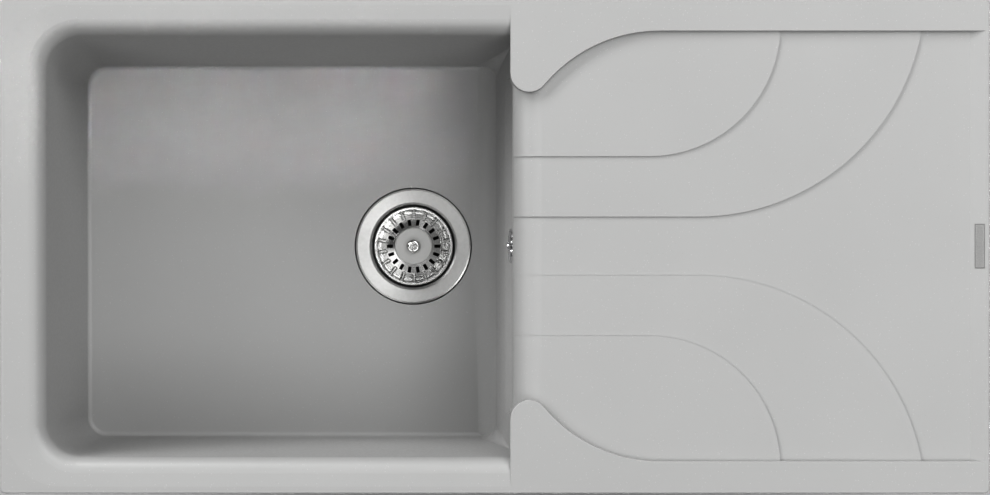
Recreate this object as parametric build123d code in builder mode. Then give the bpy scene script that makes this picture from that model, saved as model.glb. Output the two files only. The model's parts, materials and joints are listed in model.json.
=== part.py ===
from build123d import *
import math
import os

os.makedirs("parts", exist_ok=True)

# A kitchen sink with one bowl and a drainboard, moulded in one piece, with its
# waste, overflow and fixing clips. Millimetres, +Z up. The origin is the middle of
# the sink in plan, at the height of the worktop that the rim rests on. +X runs from
# the bowl to the drainboard and +Y to the rear edge.

# ---------------------------------------------------------------- driving dimensions
sink_length = 1000.0
sink_width = 500.0
rim_height = 8.0
plan_corner = 5.0
edge_round = 1.6
wall = 9.0

# Cut-out in the worktop, and how deep the moulding's skirt hangs into it
cutout_length = 980.0
cutout_width = 480.0
cutout_clearance = 2.0
skirt_wall = 6.0
skirt_depth = 12.0

# Bowl: its walls at rim height, their draft, and how far the draft leans to the front
bowl_left = -457.0
bowl_right = 15.6
bowl_half_width = 215.0
bowl_depth = 203.0
mouth_corner = 36.0
wall_draft = 4.0
bowl_lean = 1.7
foot_round = 5.0

# The floor falls to the drain in one very shallow dish
dish_radius = 180.0
dish_depth = 1.5

# Sloping band round the bowl's mouth and the round-over into the bowl
band_drop = 3.0
band_left = -496.0
band_half_width = 243.0
band_corner = 58.0
band_slope = 42.0
mouth_round = 17.0

# Right-hand wall of the bowl: upright to this depth, then leaning to a wide cove. Its
# corners are sharp down to the lean and get rounder from there to the floor.
upright_depth = 84.0
right_lean = 8.0
cove_radius = 28.0
right_floor_corner = 18.0
corner_backing = 1.5
shell_corner = 18.0
shell_chamfer = 10.0

# Drainboard recess, its two peninsulas and the rounded apron into the bowl
recess_half_width = 217.4
peninsula_tip_radius = 19.2
peninsula_tip_place = 174.8
peninsula_root = 166.7
apron_radius = 30.0
apron_depth = 9.0
apron_setback = 2.4
pocket_margin = 6.0
recess_edge_round = 0.8
ramp_foot = 480.8
ramp_top = 496.0
ramp_foot_depth = 4.5

# Two terraces, each a straight line that sweeps outwards in one arc
terrace_step = 1.5
inner_line_place = 91.0
inner_line_straight = 156.6
inner_line_radius = 132.0
outer_line_place = 29.9
outer_line_straight = 207.0
outer_line_radius = 228.0

# Underside of the drainboard
tray_end = 484.0
tray_left_depth = 11.0
tray_right_depth = 5.5
shoulder_size = 19.0

# Tap knock-outs under the peninsulas, closed by a skin that is broken out to use them
tap_hole_radius = 17.5
tap_hole_x = 44.0
tap_hole_y = 213.0
tap_skin = 3.0
tap_pad_wall = 5.0

# Waste
drain_x = -89.0
drain_hole_radius = 46.3
drain_edge_bevel = 3.0
flange_radius = 63.0
flange_seat_depth = 5.5
flange_lip = 1.2
flange_lip_width = 2.0
flange_dish = 2.1
seat_clearance = 0.8
drain_boss_radius = 60.0
drain_boss_depth = 5.0
sheet = 1.2
gasket_width = 7.0
gasket_inset = 1.0
gasket_play = 0.1
cup_clearance = 0.5
cup_depth = 44.0
cup_taper = 2.1
cup_foot_bevel = 4.0
throat_round = 4.0
throat_steps = 4
lip_sink = 0.2
screw_hole_play = 0.4
centre_screw_radius = 2.95
centre_head_radius = 6.5
centre_head_height = 3.0
centre_head_bevel = 2.0
screw_slot = 1.4
screw_slot_depth = 1.5
screw_tip_gap = 1.0
thread_clearance = 0.05
window_count = 8
window_radius = 5.5
window_circle = 25.0

# Basket, its post and its stopper
basket_radius = 42.4
basket_sheet = 0.8
basket_lip_drop = 1.6
basket_depth = 13.0
basket_wall_lean = 3.8
basket_floor_radius = 37.0
basket_trough = 1.5
basket_disc_radius = 20.0
basket_disc_rise = 7.0
basket_drop = 6.0
slot_count = 18
slot_circle = 26.0
slot_length = 6.4
slot_width = 3.4
petal_radius = 2.4
petal_start = 29.5
post_radius = 3.0
post_shoulder_radius = 5.0
post_foot_gap = 1.5
running_clearance = 0.05
seat_gap = 0.3
knob_radius = 7.2
knob_height = 9.0
knob_waist_radius = 4.2
knob_waist_share = 0.45
knob_brim_share = 0.62
knob_foot_flare = 0.6
knob_round = 2.8
knob_top_play = 0.1
knob_cap = 2.4
stopper_radius = 36.0
stopper_height = 5.0
stopper_lip = 1.0
stopper_lip_height = 2.0
stopper_cone_radius = 11.0
stopper_neck_radius = 8.0
stopper_neck_height = 6.0

# Waste body and its outlet
body_gasket_height = 3.0
body_flange_radius = 59.0
body_flange_height = 5.0
body_radius = 49.5
body_wall = 3.0
body_depth = 50.0
body_cone_height = 18.0
outlet_radius = 23.9
outlet_bore_radius = 20.5
outlet_length = 32.0
hub_radius = 9.0
hub_height = 15.0
hub_drop = 3.0
spider_height = 10.0
spider_angle = 45.0
hub_insert_radius = 5.0
inlet_drop = 42.0
inlet_radius = 13.5
inlet_bore_radius = 11.4
inlet_length = 22.0

# Overflow
overflow_drop = 64.0
overflow_hole_radius = 14.0
rosette_radius = 18.0
rosette_height = 4.4
rosette_bevel = 2.4
rosette_edge = 2.0
rosette_boss_radius = 5.0
rosette_boss_drop = 2.0
rosette_hole_count = 8
rosette_hole_circle = 11.0
rosette_hole_radius = 2.2
screw_seat_depth = 1.0
screw_seat_margin = 0.6
overflow_gasket_height = 2.5
housing_flange_radius = 24.0
housing_radius = 17.5
housing_depth = 31.0
housing_wall = 2.6
pipe_radius = 11.0
pipe_wall = 2.0
pipe_set_back = 19.0
spigot_drop = 54.0
hose_clearance = 0.3
hose_wall = 1.6
rib_height = 1.8
rib_count = 12
cuff_length = 15.0
cuff_margin = 3.0
bend_radius = 28.0
bend_straight = 7.0
spigot_length = 14.0
hose_band_width = 8.0
hose_band_sheet = 0.9
hose_band_play = 0.1
tightener_length = 6.0
tightener_width = 9.0
nut_wall = 3.6
nut_corner = 1.4
nut_sides = 8
nut_grip = 12.0
nut_lip = 4.0
nut_play = 0.2
overflow_screw_radius = 2.4
overflow_screw_play = 0.2
overflow_screw_end_gap = 2.0
screw_head_radius = 4.6
screw_head_height = 1.8
screw_head_bevel = 1.0

# Fixing clips
clip_places = (-380.0, -150.0, 190.0, 400.0)
clip_line = 230.0
clip_boss_radius = 6.5
clip_boss_depth = 17.0
insert_radius = 3.6
insert_length = 12.0
clip_screw_radius = 2.45
clip_head_radius = 4.6
clip_head_height = 3.2
worktop = 38.0
arm_width = 14.0
arm_sheet = 2.0
arm_reach = 40.0
arm_crank = 6.0
arm_rise = 5.0
arm_toe = 3.0
arm_toe_rise = 2.0

# Seal strip under the rim
seal_inset = 5.0
seal_groove_width = 4.4
seal_groove_depth = 2.0
seal_clearance = 0.2

# ---------------------------------------------------------------- places worked out
rim_top = rim_height
floor_z = rim_top - bowl_depth
underside_z = floor_z - wall
drain_axis = Axis((drain_x, 0, 0), (0, 0, 1))
drain_plane = Plane(origin=(drain_x, 0, 0), x_dir=(1, 0, 0), z_dir=(0, -1, 0))
seat_z = floor_z - flange_seat_depth
boss_bottom_z = underside_z - drain_boss_depth
overflow_z = rim_top - overflow_drop
overflow_wall_x = bowl_right + apron_setback
outer_wall_x = overflow_wall_x + wall
skirt_length = cutout_length - 2 * cutout_clearance
skirt_width = cutout_width - 2 * cutout_clearance
over = 5.0


def ring(plane, outer, inner, height):
    """A flat ring between two radii, standing on a plane."""
    with BuildPart() as made:
        with BuildSketch(plane):
            Circle(outer)
            Circle(inner, mode=Mode.SUBTRACT)
        extrude(amount=height)
    return made.part


# ---------------------------------------------------------------- void of the bowl
lean_plane = Plane(
    origin=(0, 0, rim_top),
    x_dir=(1, 0, 0),
    z_dir=(0, math.sin(math.radians(bowl_lean)), math.cos(math.radians(bowl_lean))),
)


def drafted_block(grow):
    """The bowl's form with drafted walls and round left-hand corners, grown by a wall."""
    right = bowl_right + sink_width
    with BuildPart() as block:
        with BuildSketch(lean_plane.offset(-bowl_depth - 3 * wall)):
            with Locations(((bowl_left - grow + right) / 2, 0)):
                Rectangle(right - bowl_left + grow, 2 * (bowl_half_width + grow))
        extrude(amount=bowl_depth + 6 * wall)
        uprights = block.edges().filter_by(Axis((0, 0, 0), lean_plane.z_dir))
        fillet(uprights.group_by(Axis.X)[0], mouth_corner + grow)
        upright = block.faces().filter_by(lambda face: abs(face.normal_at().dot(lean_plane.z_dir)) < 0.01)
        sides = upright.filter_by(lambda face: face.center().X < bowl_right)
        draft(sides, neutral_plane=lean_plane, angle=-wall_draft)
    return block.part


foot_z = floor_z + dish_depth

with BuildPart() as band_void:
    with BuildSketch(Plane.XY.offset(rim_top - band_drop)) as band_plan:
        with Locations(((band_left + bowl_right) / 2, 0)):
            Rectangle(bowl_right - band_left, 2 * band_half_width)
        fillet(band_plan.vertices().group_by(Axis.X)[0], band_corner)
    extrude(amount=band_drop)
    low_edges = band_void.faces().sort_by(Axis.Z)[0].edges()
    low_edges = low_edges.filter_by(lambda edge: (edge @ 0.5).X < bowl_right - 1)
    chamfer(low_edges, 0.999 * band_drop, band_slope)

with BuildPart() as bowl_void:
    add(drafted_block(0))
    with BuildSketch(Plane.XZ):
        Polygon(
            (bowl_left - over, foot_z),
            (bowl_right, foot_z),
            (bowl_right, rim_top),
            (bowl_left - over, rim_top),
            align=None,
        )
    extrude(amount=sink_width / 2, both=True, mode=Mode.INTERSECT)
    foot = bowl_void.faces().sort_by(Axis.Z)[0].edges()
    fillet(foot.filter_by(lambda edge: (edge @ 0.5).X < bowl_right - 1), foot_round)
    # The sloping band, wider than the bowl, ends at the bowl's right-hand wall
    add(band_void.part)
    mouth = bowl_void.edges().filter_by(
        lambda edge: rim_top - 1.2 * band_drop < (edge @ 0.5).Z < rim_top - 0.1
        and bowl_left - 2 < (edge @ 0.5).X < bowl_right - 1
        and abs((edge @ 0.5).Y) < bowl_half_width + 2
    )
    fillet(mouth, mouth_round)


# ---------------------------------------------------------------- outside of the bowl
def side_wall(height, side):
    """Distance from the middle line to a long wall's inner face, at one height."""
    neutral_z = rim_top - side * bowl_half_width * math.sin(math.radians(bowl_lean))
    slope = math.tan(math.radians(wall_draft + side * bowl_lean))
    return bowl_half_width * math.cos(math.radians(bowl_lean)) + (height - neutral_z) * slope


upright_end_z = rim_top - upright_depth
lean_slope = math.tan(math.radians(right_lean))
foot_right = outer_wall_x - (upright_end_z - underside_z) * lean_slope

with BuildPart() as bowl_shell:
    add(drafted_block(wall))
    with BuildSketch(Plane.XZ):
        Polygon(
            (bowl_left - 2 * wall, rim_top - 1),
            (outer_wall_x, rim_top - 1),
            (outer_wall_x, upright_end_z),
            (foot_right, underside_z),
            (bowl_left - 2 * wall, underside_z),
            align=None,
        )
    extrude(amount=sink_width / 2, both=True, mode=Mode.INTERSECT)
    right_edges = bowl_shell.edges().filter_by(
        lambda edge: (edge @ 0.5).X > foot_right - 1 and abs((edge @ 0).Z - (edge @ 1).Z) > wall
    )
    fillet(right_edges, shell_corner)
    chamfer(bowl_shell.faces().sort_by(Axis.Z)[0].edges(), shell_chamfer)

# ------------------------------------------- lower part of the bowl's right-hand wall
cove_bottom_z = floor_z + 0.4 * dish_depth
lean_end_z = cove_bottom_z + cove_radius * (1 - math.sin(math.radians(right_lean)))
lean_end_x = bowl_right - (upright_end_z - lean_end_z) * lean_slope

with BuildPart() as right_foot:
    with BuildSketch(Plane.XZ):
        with BuildLine():
            lean = Line((bowl_right, upright_end_z), (lean_end_x, lean_end_z))
            cove = JernArc(lean @ 1, lean % 1, cove_radius, right_lean - 90)
            Polyline(
                cove @ 1,
                ((cove @ 1).X, underside_z),
                (outer_wall_x, underside_z),
                (outer_wall_x, upright_end_z),
                lean @ 0,
            )
        make_face()
    extrude(amount=sink_width / 2, both=True)
    add(bowl_shell.part, mode=Mode.INTERSECT)


def corner_point(height, side, inset=0.0):
    """A point on the line where the leaning right-hand wall meets a long wall."""
    right = bowl_right - (upright_end_z - height) * lean_slope
    return Vector(right - inset, side * (side_wall(height, side) - inset), height)


def right_corner(side):
    """Filling that rounds a right-hand corner: a tapered block less a cone that touches both walls."""
    end_z = floor_z - 1
    tip = corner_point(upright_end_z, side)
    middle = corner_point(end_z, side, inset=right_floor_corner)
    lean_normal = Vector(-1, 0, lean_slope).normalized()
    to_cone = middle - tip
    cone_radius = to_cone.dot(lean_normal)
    half_angle = math.asin(cone_radius / to_cone.length)
    with BuildPart() as filling:
        for height in (upright_end_z, end_z):
            reach = right_floor_corner * (upright_end_z - height) / (upright_end_z - end_z)
            near = corner_point(height, side, inset=reach)
            far = corner_point(height, side, inset=-corner_backing)
            with BuildSketch(Plane.XY.offset(height)):
                with Locations(((near.X + far.X) / 2, (near.Y + far.Y) / 2)):
                    Rectangle(far.X - near.X, side * (far.Y - near.Y))
        loft(ruled=True)
        cone_plane = Plane(origin=(tip.X, tip.Y, tip.Z), z_dir=(to_cone.X, to_cone.Y, to_cone.Z))
        with Locations(cone_plane):
            Cone(
                0.01,
                2 * to_cone.length * math.tan(half_angle),
                2 * to_cone.length,
                align=(Align.CENTER, Align.CENTER, Align.MIN),
                mode=Mode.SUBTRACT,
            )
    return filling.part


# ---------------------------------------------------------------- drainboard recess
def recess_plan():
    """Outline of the recess: the peninsulas' tips run into the long edges by two arcs."""
    rise = peninsula_tip_place - recess_half_width
    tip_centre = (bowl_right + peninsula_tip_radius, peninsula_tip_place)
    run = peninsula_root - tip_centre[0]
    sweep_radius = (run**2 + rise**2 - peninsula_tip_radius**2) / (2 * (peninsula_tip_radius - rise))
    sweep_centre = (peninsula_root, recess_half_width - sweep_radius)
    meet = math.degrees(math.atan2(sweep_centre[1] - tip_centre[1], run))
    with BuildSketch() as plan:
        with BuildLine():
            lip = Line((bowl_right - over, peninsula_tip_place), (bowl_right, peninsula_tip_place))
            CenterArc(tip_centre, peninsula_tip_radius, 180, 180 + meet)
            CenterArc(sweep_centre, sweep_radius, 180 + meet, -90 - meet)
            edge = Line((peninsula_root, recess_half_width), (ramp_top + 1, recess_half_width))
            mirror(about=Plane.XZ)
            Line(lip @ 0, ((lip @ 0).X, -(lip @ 0).Y))
            Line(edge @ 1, ((edge @ 1).X, -(edge @ 1).Y))
        make_face()
    return plan.sketch


def terrace_plan(place, straight_end, radius):
    """Plan of all that lies lower than one terrace line."""
    centre = (straight_end, place + radius)
    far = recess_half_width + 1
    sweep = 90 - math.degrees(math.asin((centre[1] - far) / radius))
    with BuildSketch() as plan:
        with BuildLine():
            start = Line((bowl_right - over, place), (straight_end, place))
            swept = CenterArc(centre, radius, -90, sweep)
            edge = Line(swept @ 1, (ramp_top + over, far))
            mirror(about=Plane.XZ)
            Line(start @ 0, ((start @ 0).X, -(start @ 0).Y))
            Line(edge @ 1, ((edge @ 1).X, -(edge @ 1).Y))
        make_face()
    return plan.sketch


def drainer_void(rise, plans):
    """Void over one level of the drainboard, from the apron to the ramp."""
    board_z = rim_top - apron_depth + rise
    with BuildPart() as void:
        with BuildSketch(Plane.XZ):
            with BuildLine():
                apron = JernArc((overflow_wall_x, board_z - apron_radius), (0, 1), apron_radius, -90)
                Polyline(
                    apron @ 1,
                    (ramp_foot, rim_top - ramp_foot_depth + rise),
                    (ramp_top, rim_top),
                    (ramp_top, rim_top + over),
                    (bowl_right - over, rim_top + over),
                    (bowl_right - over, board_z - apron_radius),
                    apron @ 0,
                )
            make_face()
        extrude(amount=sink_width / 2, both=True)
        for plan in plans:
            add(extrude(plan, amount=sink_width, both=True, mode=Mode.PRIVATE), mode=Mode.INTERSECT)
    return void.part


def pocket_void(plan):
    """Void that sets the bowl's wall back under the apron, down to below the overflow."""
    top_z = rim_top - apron_depth + 2 * terrace_step - apron_radius + 1
    foot_z = overflow_z - rosette_radius - pocket_margin
    end_z = upright_end_z - over / lean_slope + 1
    with BuildPart() as void:
        with BuildSketch(Plane.XZ):
            Polygon(
                (bowl_right - over, top_z),
                (bowl_right - over, end_z),
                (overflow_wall_x, foot_z),
                (overflow_wall_x, top_z),
                align=None,
            )
        extrude(amount=sink_width / 2, both=True)
        add(extrude(plan, amount=sink_width, both=True, mode=Mode.PRIVATE), mode=Mode.INTERSECT)
    return void.part


# ---------------------------------------------------------------- the moulding
def plan_ring(length, width, corner, band):
    """A closed band of even width, inside a rounded rectangle."""
    with BuildSketch() as plan:
        RectangleRounded(length, width, corner)
        RectangleRounded(length - 2 * band, width - 2 * band, corner, mode=Mode.SUBTRACT)
    return plan.sketch


groove_length = sink_length - 2 * seal_inset + seal_groove_width
groove_width = sink_width - 2 * seal_inset + seal_groove_width
clip_points = [(x, side * clip_line) for side in (1, -1) for x in clip_places]
tap_points = [(tap_hole_x, side * tap_hole_y) for side in (1, -1)]
tap_pad_depth = tray_left_depth + 1

with BuildPart() as sink_basin:
    with BuildSketch():
        RectangleRounded(sink_length, sink_width, plan_corner)
    extrude(amount=rim_height)
    fillet(sink_basin.faces().sort_by(Axis.Z)[-1].edges(), edge_round)
    # Skirt that hangs inside the cut-out
    skirt = plan_ring(skirt_length, skirt_width, 2 * plan_corner, skirt_wall)
    extrude(skirt, amount=-skirt_depth)
    # Drainboard tray, thinner towards its far end
    with BuildSketch(Plane.XZ):
        Polygon(
            (bowl_right + 1, 1),
            (tray_end, 1),
            (tray_end, -tray_right_depth),
            (bowl_right + 1, -tray_left_depth),
            align=None,
        )
    extrude(amount=skirt_width / 2 - skirt_wall / 2, both=True)
    # Shoulder that backs the rounded apron
    with BuildSketch(Plane.XZ):
        Polygon(
            (bowl_right + 1, -1),
            (outer_wall_x + shoulder_size, -1),
            (outer_wall_x + shoulder_size, -tray_left_depth),
            (outer_wall_x - 1, -tray_left_depth - shoulder_size - 1),
            (bowl_right + 1, -tray_left_depth - shoulder_size - 1),
            align=None,
        )
    extrude(amount=peninsula_tip_place, both=True)
    add(bowl_shell.part)
    # Boss round the drain and bosses for the clips and the tap knock-outs
    with Locations((drain_x, 0, boss_bottom_z)):
        Cylinder(
            drain_boss_radius,
            floor_z - 1 - boss_bottom_z,
            align=(Align.CENTER, Align.CENTER, Align.MIN),
        )
    with Locations(*[(x, y, 1) for x, y in clip_points]):
        Cylinder(clip_boss_radius, clip_boss_depth + 1, align=(Align.CENTER, Align.CENTER, Align.MAX))
    with Locations(*[(x, y, 1) for x, y in tap_points]):
        Cylinder(
            tap_hole_radius + tap_pad_wall,
            tap_pad_depth + 1,
            align=(Align.CENTER, Align.CENTER, Align.MAX),
        )
    # Recess, then the two terraces below its highest level
    recess = recess_plan()
    inner_terrace = terrace_plan(inner_line_place, inner_line_straight, inner_line_radius)
    outer_terrace = terrace_plan(outer_line_place, outer_line_straight, outer_line_radius)
    add(drainer_void(2 * terrace_step, [recess]), mode=Mode.SUBTRACT)
    add(drainer_void(terrace_step, [recess, inner_terrace]), mode=Mode.SUBTRACT)
    add(drainer_void(0, [recess, outer_terrace]), mode=Mode.SUBTRACT)
    lip = sink_basin.edges().filter_by(
        lambda edge: abs((edge @ 0).Z - rim_top) + abs((edge @ 1).Z - rim_top) < 0.01
        and bowl_right + 1 < (edge @ 0.5).X < ramp_foot
        and abs((edge @ 0.5).Y) < recess_half_width + 1
    )
    fillet(lip, recess_edge_round)
    # The bowl, the dish of its floor, its right-hand foot and right-hand corners
    add(bowl_void.part, mode=Mode.SUBTRACT)
    with Locations((drain_x, 0, floor_z)):
        Cone(
            0.01,
            dish_radius,
            dish_depth,
            align=(Align.CENTER, Align.CENTER, Align.MIN),
            mode=Mode.SUBTRACT,
        )
    add(right_foot.part)
    add(right_corner(1))
    add(right_corner(-1))
    # Right-hand wall set back under the apron
    add(pocket_void(recess), mode=Mode.SUBTRACT)
    # Drain: seat for the flange and the hole through the floor
    with Locations((drain_x, 0, seat_z)):
        Cylinder(
            flange_radius + seat_clearance,
            flange_seat_depth + over,
            align=(Align.CENTER, Align.CENTER, Align.MIN),
            mode=Mode.SUBTRACT,
        )
    with Locations((drain_x, 0, boss_bottom_z - 1)):
        Cylinder(
            drain_hole_radius,
            floor_z - boss_bottom_z + over,
            align=(Align.CENTER, Align.CENTER, Align.MIN),
            mode=Mode.SUBTRACT,
        )
    circles = sink_basin.edges().filter_by(GeomType.CIRCLE)
    seat_circles = circles.filter_by_position(Axis.Z, seat_z - 0.1, seat_z + 0.1)
    chamfer(seat_circles.sort_by(lambda edge: edge.radius)[0], drain_edge_bevel)
    # Overflow hole through the right-hand wall
    with Locations(Location((overflow_wall_x - 1, 0, overflow_z), (0, 90, 0))):
        Cylinder(
            overflow_hole_radius,
            wall + 2,
            align=(Align.CENTER, Align.CENTER, Align.MIN),
            mode=Mode.SUBTRACT,
        )
    # Blind holes for the tap and for the clips' inserts
    with Locations(*[(x, y, -tap_pad_depth) for x, y in tap_points]):
        Cylinder(
            tap_hole_radius,
            tap_pad_depth + rim_height - tap_skin,
            align=(Align.CENTER, Align.CENTER, Align.MIN),
            mode=Mode.SUBTRACT,
        )
    with Locations(*[(x, y, -clip_boss_depth) for x, y in clip_points]):
        Cylinder(
            insert_radius,
            insert_length,
            align=(Align.CENTER, Align.CENTER, Align.MIN),
            mode=Mode.SUBTRACT,
        )
    # Groove for the seal strip
    groove = plan_ring(groove_length, groove_width, plan_corner, seal_groove_width)
    extrude(groove, amount=seal_groove_depth, mode=Mode.SUBTRACT)

sink_basin.part.label = "sink_basin"
export_step(sink_basin.part, "parts/sink_basin.step")


# ---------------------------------------------------------------- seal strip
with BuildPart() as rim_seal:
    strip = plan_ring(
        groove_length - 2 * seal_clearance,
        groove_width - 2 * seal_clearance,
        plan_corner,
        seal_groove_width - 2 * seal_clearance,
    )
    extrude(strip, amount=seal_groove_depth)
rim_seal.part.label = "rim_seal"
export_step(rim_seal.part, "parts/rim_seal.step")


# ---------------------------------------------------------------- strainer cup
def turned(plane, axis, points):
    """A solid turned about an axis, from its half outline in (radius, height)."""
    with BuildPart() as made:
        with BuildSketch(plane):
            with BuildLine():
                Polyline(*points, close=True)
            make_face()
        revolve(axis=axis)
    return made.part


def pressed(plane, axis, points, thickness):
    """A sheet pressing turned about an axis, from the line of its outer face, with mitred bends."""
    line = [Vector(*point) for point in points]
    runs = [(end - start).normalized() for start, end in zip(line, line[1:])]
    sides = [Vector(run.Y, -run.X) for run in runs]
    inner = []
    for point, before, after in zip(line, sides[:1] + sides, sides + sides[-1:]):
        mitre = (before + after).normalized()
        moved = point + mitre * (thickness / mitre.dot(after))
        inner.append((moved.X, moved.Y))
    return turned(plane, axis, list(points) + inner[::-1])


lip_z = floor_z - sheet - lip_sink
dish_top_z = lip_z - flange_lip
dish_bottom_z = dish_top_z - flange_dish
cup_radius = drain_hole_radius - cup_clearance
dish_outer_radius = flange_radius - flange_lip_width
dish_inner_radius = cup_radius + throat_round
cup_bottom_z = seat_z - cup_depth

# The flange rolls over into the cup in a few straight steps
roll_turns = [math.radians(90 * step / throat_steps) for step in range(throat_steps + 1)]
roll_over = [
    (dish_inner_radius - throat_round * math.sin(turn), dish_bottom_z - throat_round * (1 - math.cos(turn)))
    for turn in roll_turns
]

with BuildPart() as strainer_cup:
    add(
        pressed(
            drain_plane,
            drain_axis,
            [
                (flange_radius, lip_z),
                (dish_outer_radius, dish_top_z),
                *roll_over,
                (cup_radius - cup_taper, cup_bottom_z + cup_foot_bevel),
                (cup_radius - cup_taper - cup_foot_bevel, cup_bottom_z),
                (centre_screw_radius + screw_hole_play, cup_bottom_z),
            ],
            sheet,
        )
    )
    with Locations((drain_x, 0, cup_bottom_z - 1)):
        with PolarLocations(window_circle, window_count):
            Cylinder(
                window_radius,
                sheet + 2,
                align=(Align.CENTER, Align.CENTER, Align.MIN),
                mode=Mode.SUBTRACT,
            )
strainer_cup.part.label = "strainer_cup"
export_step(strainer_cup.part, "parts/strainer_cup.step")

gasket_slope = flange_dish / (dish_outer_radius - dish_inner_radius)
gasket_inner_radius = dish_outer_radius - gasket_width
flange_gasket = turned(
    drain_plane,
    drain_axis,
    [
        (gasket_inner_radius, seat_z),
        (dish_outer_radius, seat_z),
        (dish_outer_radius, dish_top_z - gasket_play),
        (gasket_inner_radius, dish_top_z - gasket_play - gasket_width * gasket_slope),
    ],
)
flange_gasket.label = "flange_gasket"
export_step(flange_gasket, "parts/flange_gasket.step")

# ---------------------------------------------------------------- waste body
body_top_z = boss_bottom_z - body_gasket_height
body_bottom_z = body_top_z - body_depth
outlet_top_z = body_bottom_z - body_cone_height
outlet_end_z = outlet_top_z - outlet_length
inlet_z = body_top_z - inlet_drop
hub_top_z = cup_bottom_z - hub_drop
bore_radius = body_radius - body_wall

body_gasket = ring(
    Plane((drain_x, 0, body_top_z)),
    body_flange_radius - gasket_inset,
    bore_radius + gasket_inset,
    body_gasket_height,
)
body_gasket.label = "body_gasket"
export_step(body_gasket, "parts/body_gasket.step")

with BuildPart() as waste_body:
    add(
        turned(
            drain_plane,
            drain_axis,
            [
                (bore_radius, body_top_z),
                (body_flange_radius, body_top_z),
                (body_flange_radius, body_top_z - body_flange_height),
                (body_radius, body_top_z - body_flange_height),
                (body_radius, body_bottom_z),
                (outlet_radius, outlet_top_z),
                (outlet_radius, outlet_end_z),
                (outlet_bore_radius, outlet_end_z),
                (outlet_bore_radius, outlet_top_z + body_wall),
                (bore_radius, body_bottom_z + body_wall),
            ],
        )
    )
    # Hub for the centre screw, carried by a four-armed spider
    with Locations((drain_x, 0, hub_top_z)):
        Cylinder(hub_radius, hub_height, align=(Align.CENTER, Align.CENTER, Align.MAX))
    with Locations((drain_x, 0, hub_top_z - hub_height)):
        with PolarLocations(0, 2, start_angle=spider_angle, angular_range=180):
            Box(
                2 * bore_radius + 1,
                body_wall,
                spider_height,
                align=(Align.CENTER, Align.CENTER, Align.MIN),
            )
        Cylinder(
            hub_insert_radius,
            hub_height + 1,
            align=(Align.CENTER, Align.CENTER, Align.MIN),
            mode=Mode.SUBTRACT,
        )
    # Side inlet for the overflow
    with Locations(Location((drain_x + bore_radius + 1, 0, inlet_z), (0, 90, 0))):
        Cylinder(inlet_radius, inlet_length + 2, align=(Align.CENTER, Align.CENTER, Align.MIN))
    with Locations(Location((drain_x + bore_radius - 2, 0, inlet_z), (0, 90, 0))):
        Cylinder(
            inlet_bore_radius,
            inlet_length + 6,
            align=(Align.CENTER, Align.CENTER, Align.MIN),
            mode=Mode.SUBTRACT,
        )
waste_body.part.label = "waste_body"
export_step(waste_body.part, "parts/waste_body.step")

waste_insert = ring(
    Plane((drain_x, 0, hub_top_z - hub_height)),
    hub_insert_radius - thread_clearance,
    centre_screw_radius + thread_clearance,
    hub_height,
)
waste_insert.label = "waste_insert"
export_step(waste_insert, "parts/waste_insert.step")

cup_floor_z = cup_bottom_z + sheet

with BuildPart() as centre_screw:
    add(
        turned(
            drain_plane,
            drain_axis,
            [
                (0, hub_top_z - hub_height + screw_tip_gap),
                (centre_screw_radius, hub_top_z - hub_height + screw_tip_gap),
                (centre_screw_radius, cup_floor_z),
                (centre_head_radius, cup_floor_z),
                (centre_head_radius, cup_floor_z + centre_head_height / 2),
                (centre_head_radius - centre_head_bevel, cup_floor_z + centre_head_height),
                (0, cup_floor_z + centre_head_height),
            ],
        )
    )
    with Locations((drain_x, 0, cup_floor_z + centre_head_height)):
        Box(2 * centre_head_radius, screw_slot, 2 * screw_slot_depth, mode=Mode.SUBTRACT)
centre_screw.part.label = "centre_screw"
export_step(centre_screw.part, "parts/centre_screw.step")

# ---------------------------------------------------------------- basket
basket_top_z = floor_z - basket_drop
basket_floor_z = basket_top_z - basket_depth
disc_z = basket_floor_z + basket_disc_rise

dome_foot_radius = basket_floor_radius - basket_trough

with BuildPart() as basket:
    add(
        pressed(
            drain_plane,
            drain_axis,
            [
                (basket_radius, basket_top_z - basket_lip_drop),
                (basket_radius - basket_sheet, basket_top_z - basket_sheet),
                (basket_floor_radius + basket_wall_lean, basket_top_z - basket_sheet),
                (basket_floor_radius + basket_sheet, basket_floor_z),
                (dome_foot_radius, basket_floor_z),
                (basket_disc_radius, disc_z),
                (post_radius + running_clearance, disc_z),
            ],
            basket_sheet,
        )
    )
    # Petals pressed up out of the slope, one between each two slots
    slope = math.degrees(math.atan2(basket_disc_rise, dome_foot_radius - basket_disc_radius))
    petal_length = (basket_floor_radius - petal_start) / math.cos(math.radians(slope))
    petal_z = basket_floor_z + (dome_foot_radius - petal_start) * math.tan(math.radians(slope))
    with Locations((drain_x, 0, petal_z)):
        with PolarLocations(petal_start, slot_count, start_angle=180 / slot_count):
            with Locations(Location((0, 0, 0), (0, 90 + slope, 0))):
                Cylinder(petal_radius, petal_length, align=(Align.CENTER, Align.CENTER, Align.MIN))
    below_dome = turned(
        drain_plane,
        drain_axis,
        [
            (0, basket_floor_z - over),
            (basket_floor_radius + basket_sheet, basket_floor_z - over),
            (basket_floor_radius + basket_sheet, basket_floor_z),
            (dome_foot_radius, basket_floor_z),
            (basket_disc_radius, disc_z),
            (0, disc_z),
        ],
    )
    add(below_dome, mode=Mode.SUBTRACT)
    with Locations((drain_x, 0, basket_floor_z)):
        with PolarLocations(slot_circle, slot_count):
            Box(slot_length, slot_width, 4 * basket_disc_rise, mode=Mode.SUBTRACT)
basket.part.label = "basket"
export_step(basket.part, "parts/basket.step")

post_foot_z = cup_floor_z + centre_head_height + post_foot_gap
stopper_bottom_z = cup_floor_z + seat_gap
stopper_top_z = stopper_bottom_z + stopper_height
knob_z = disc_z + basket_sheet + seat_gap

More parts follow.
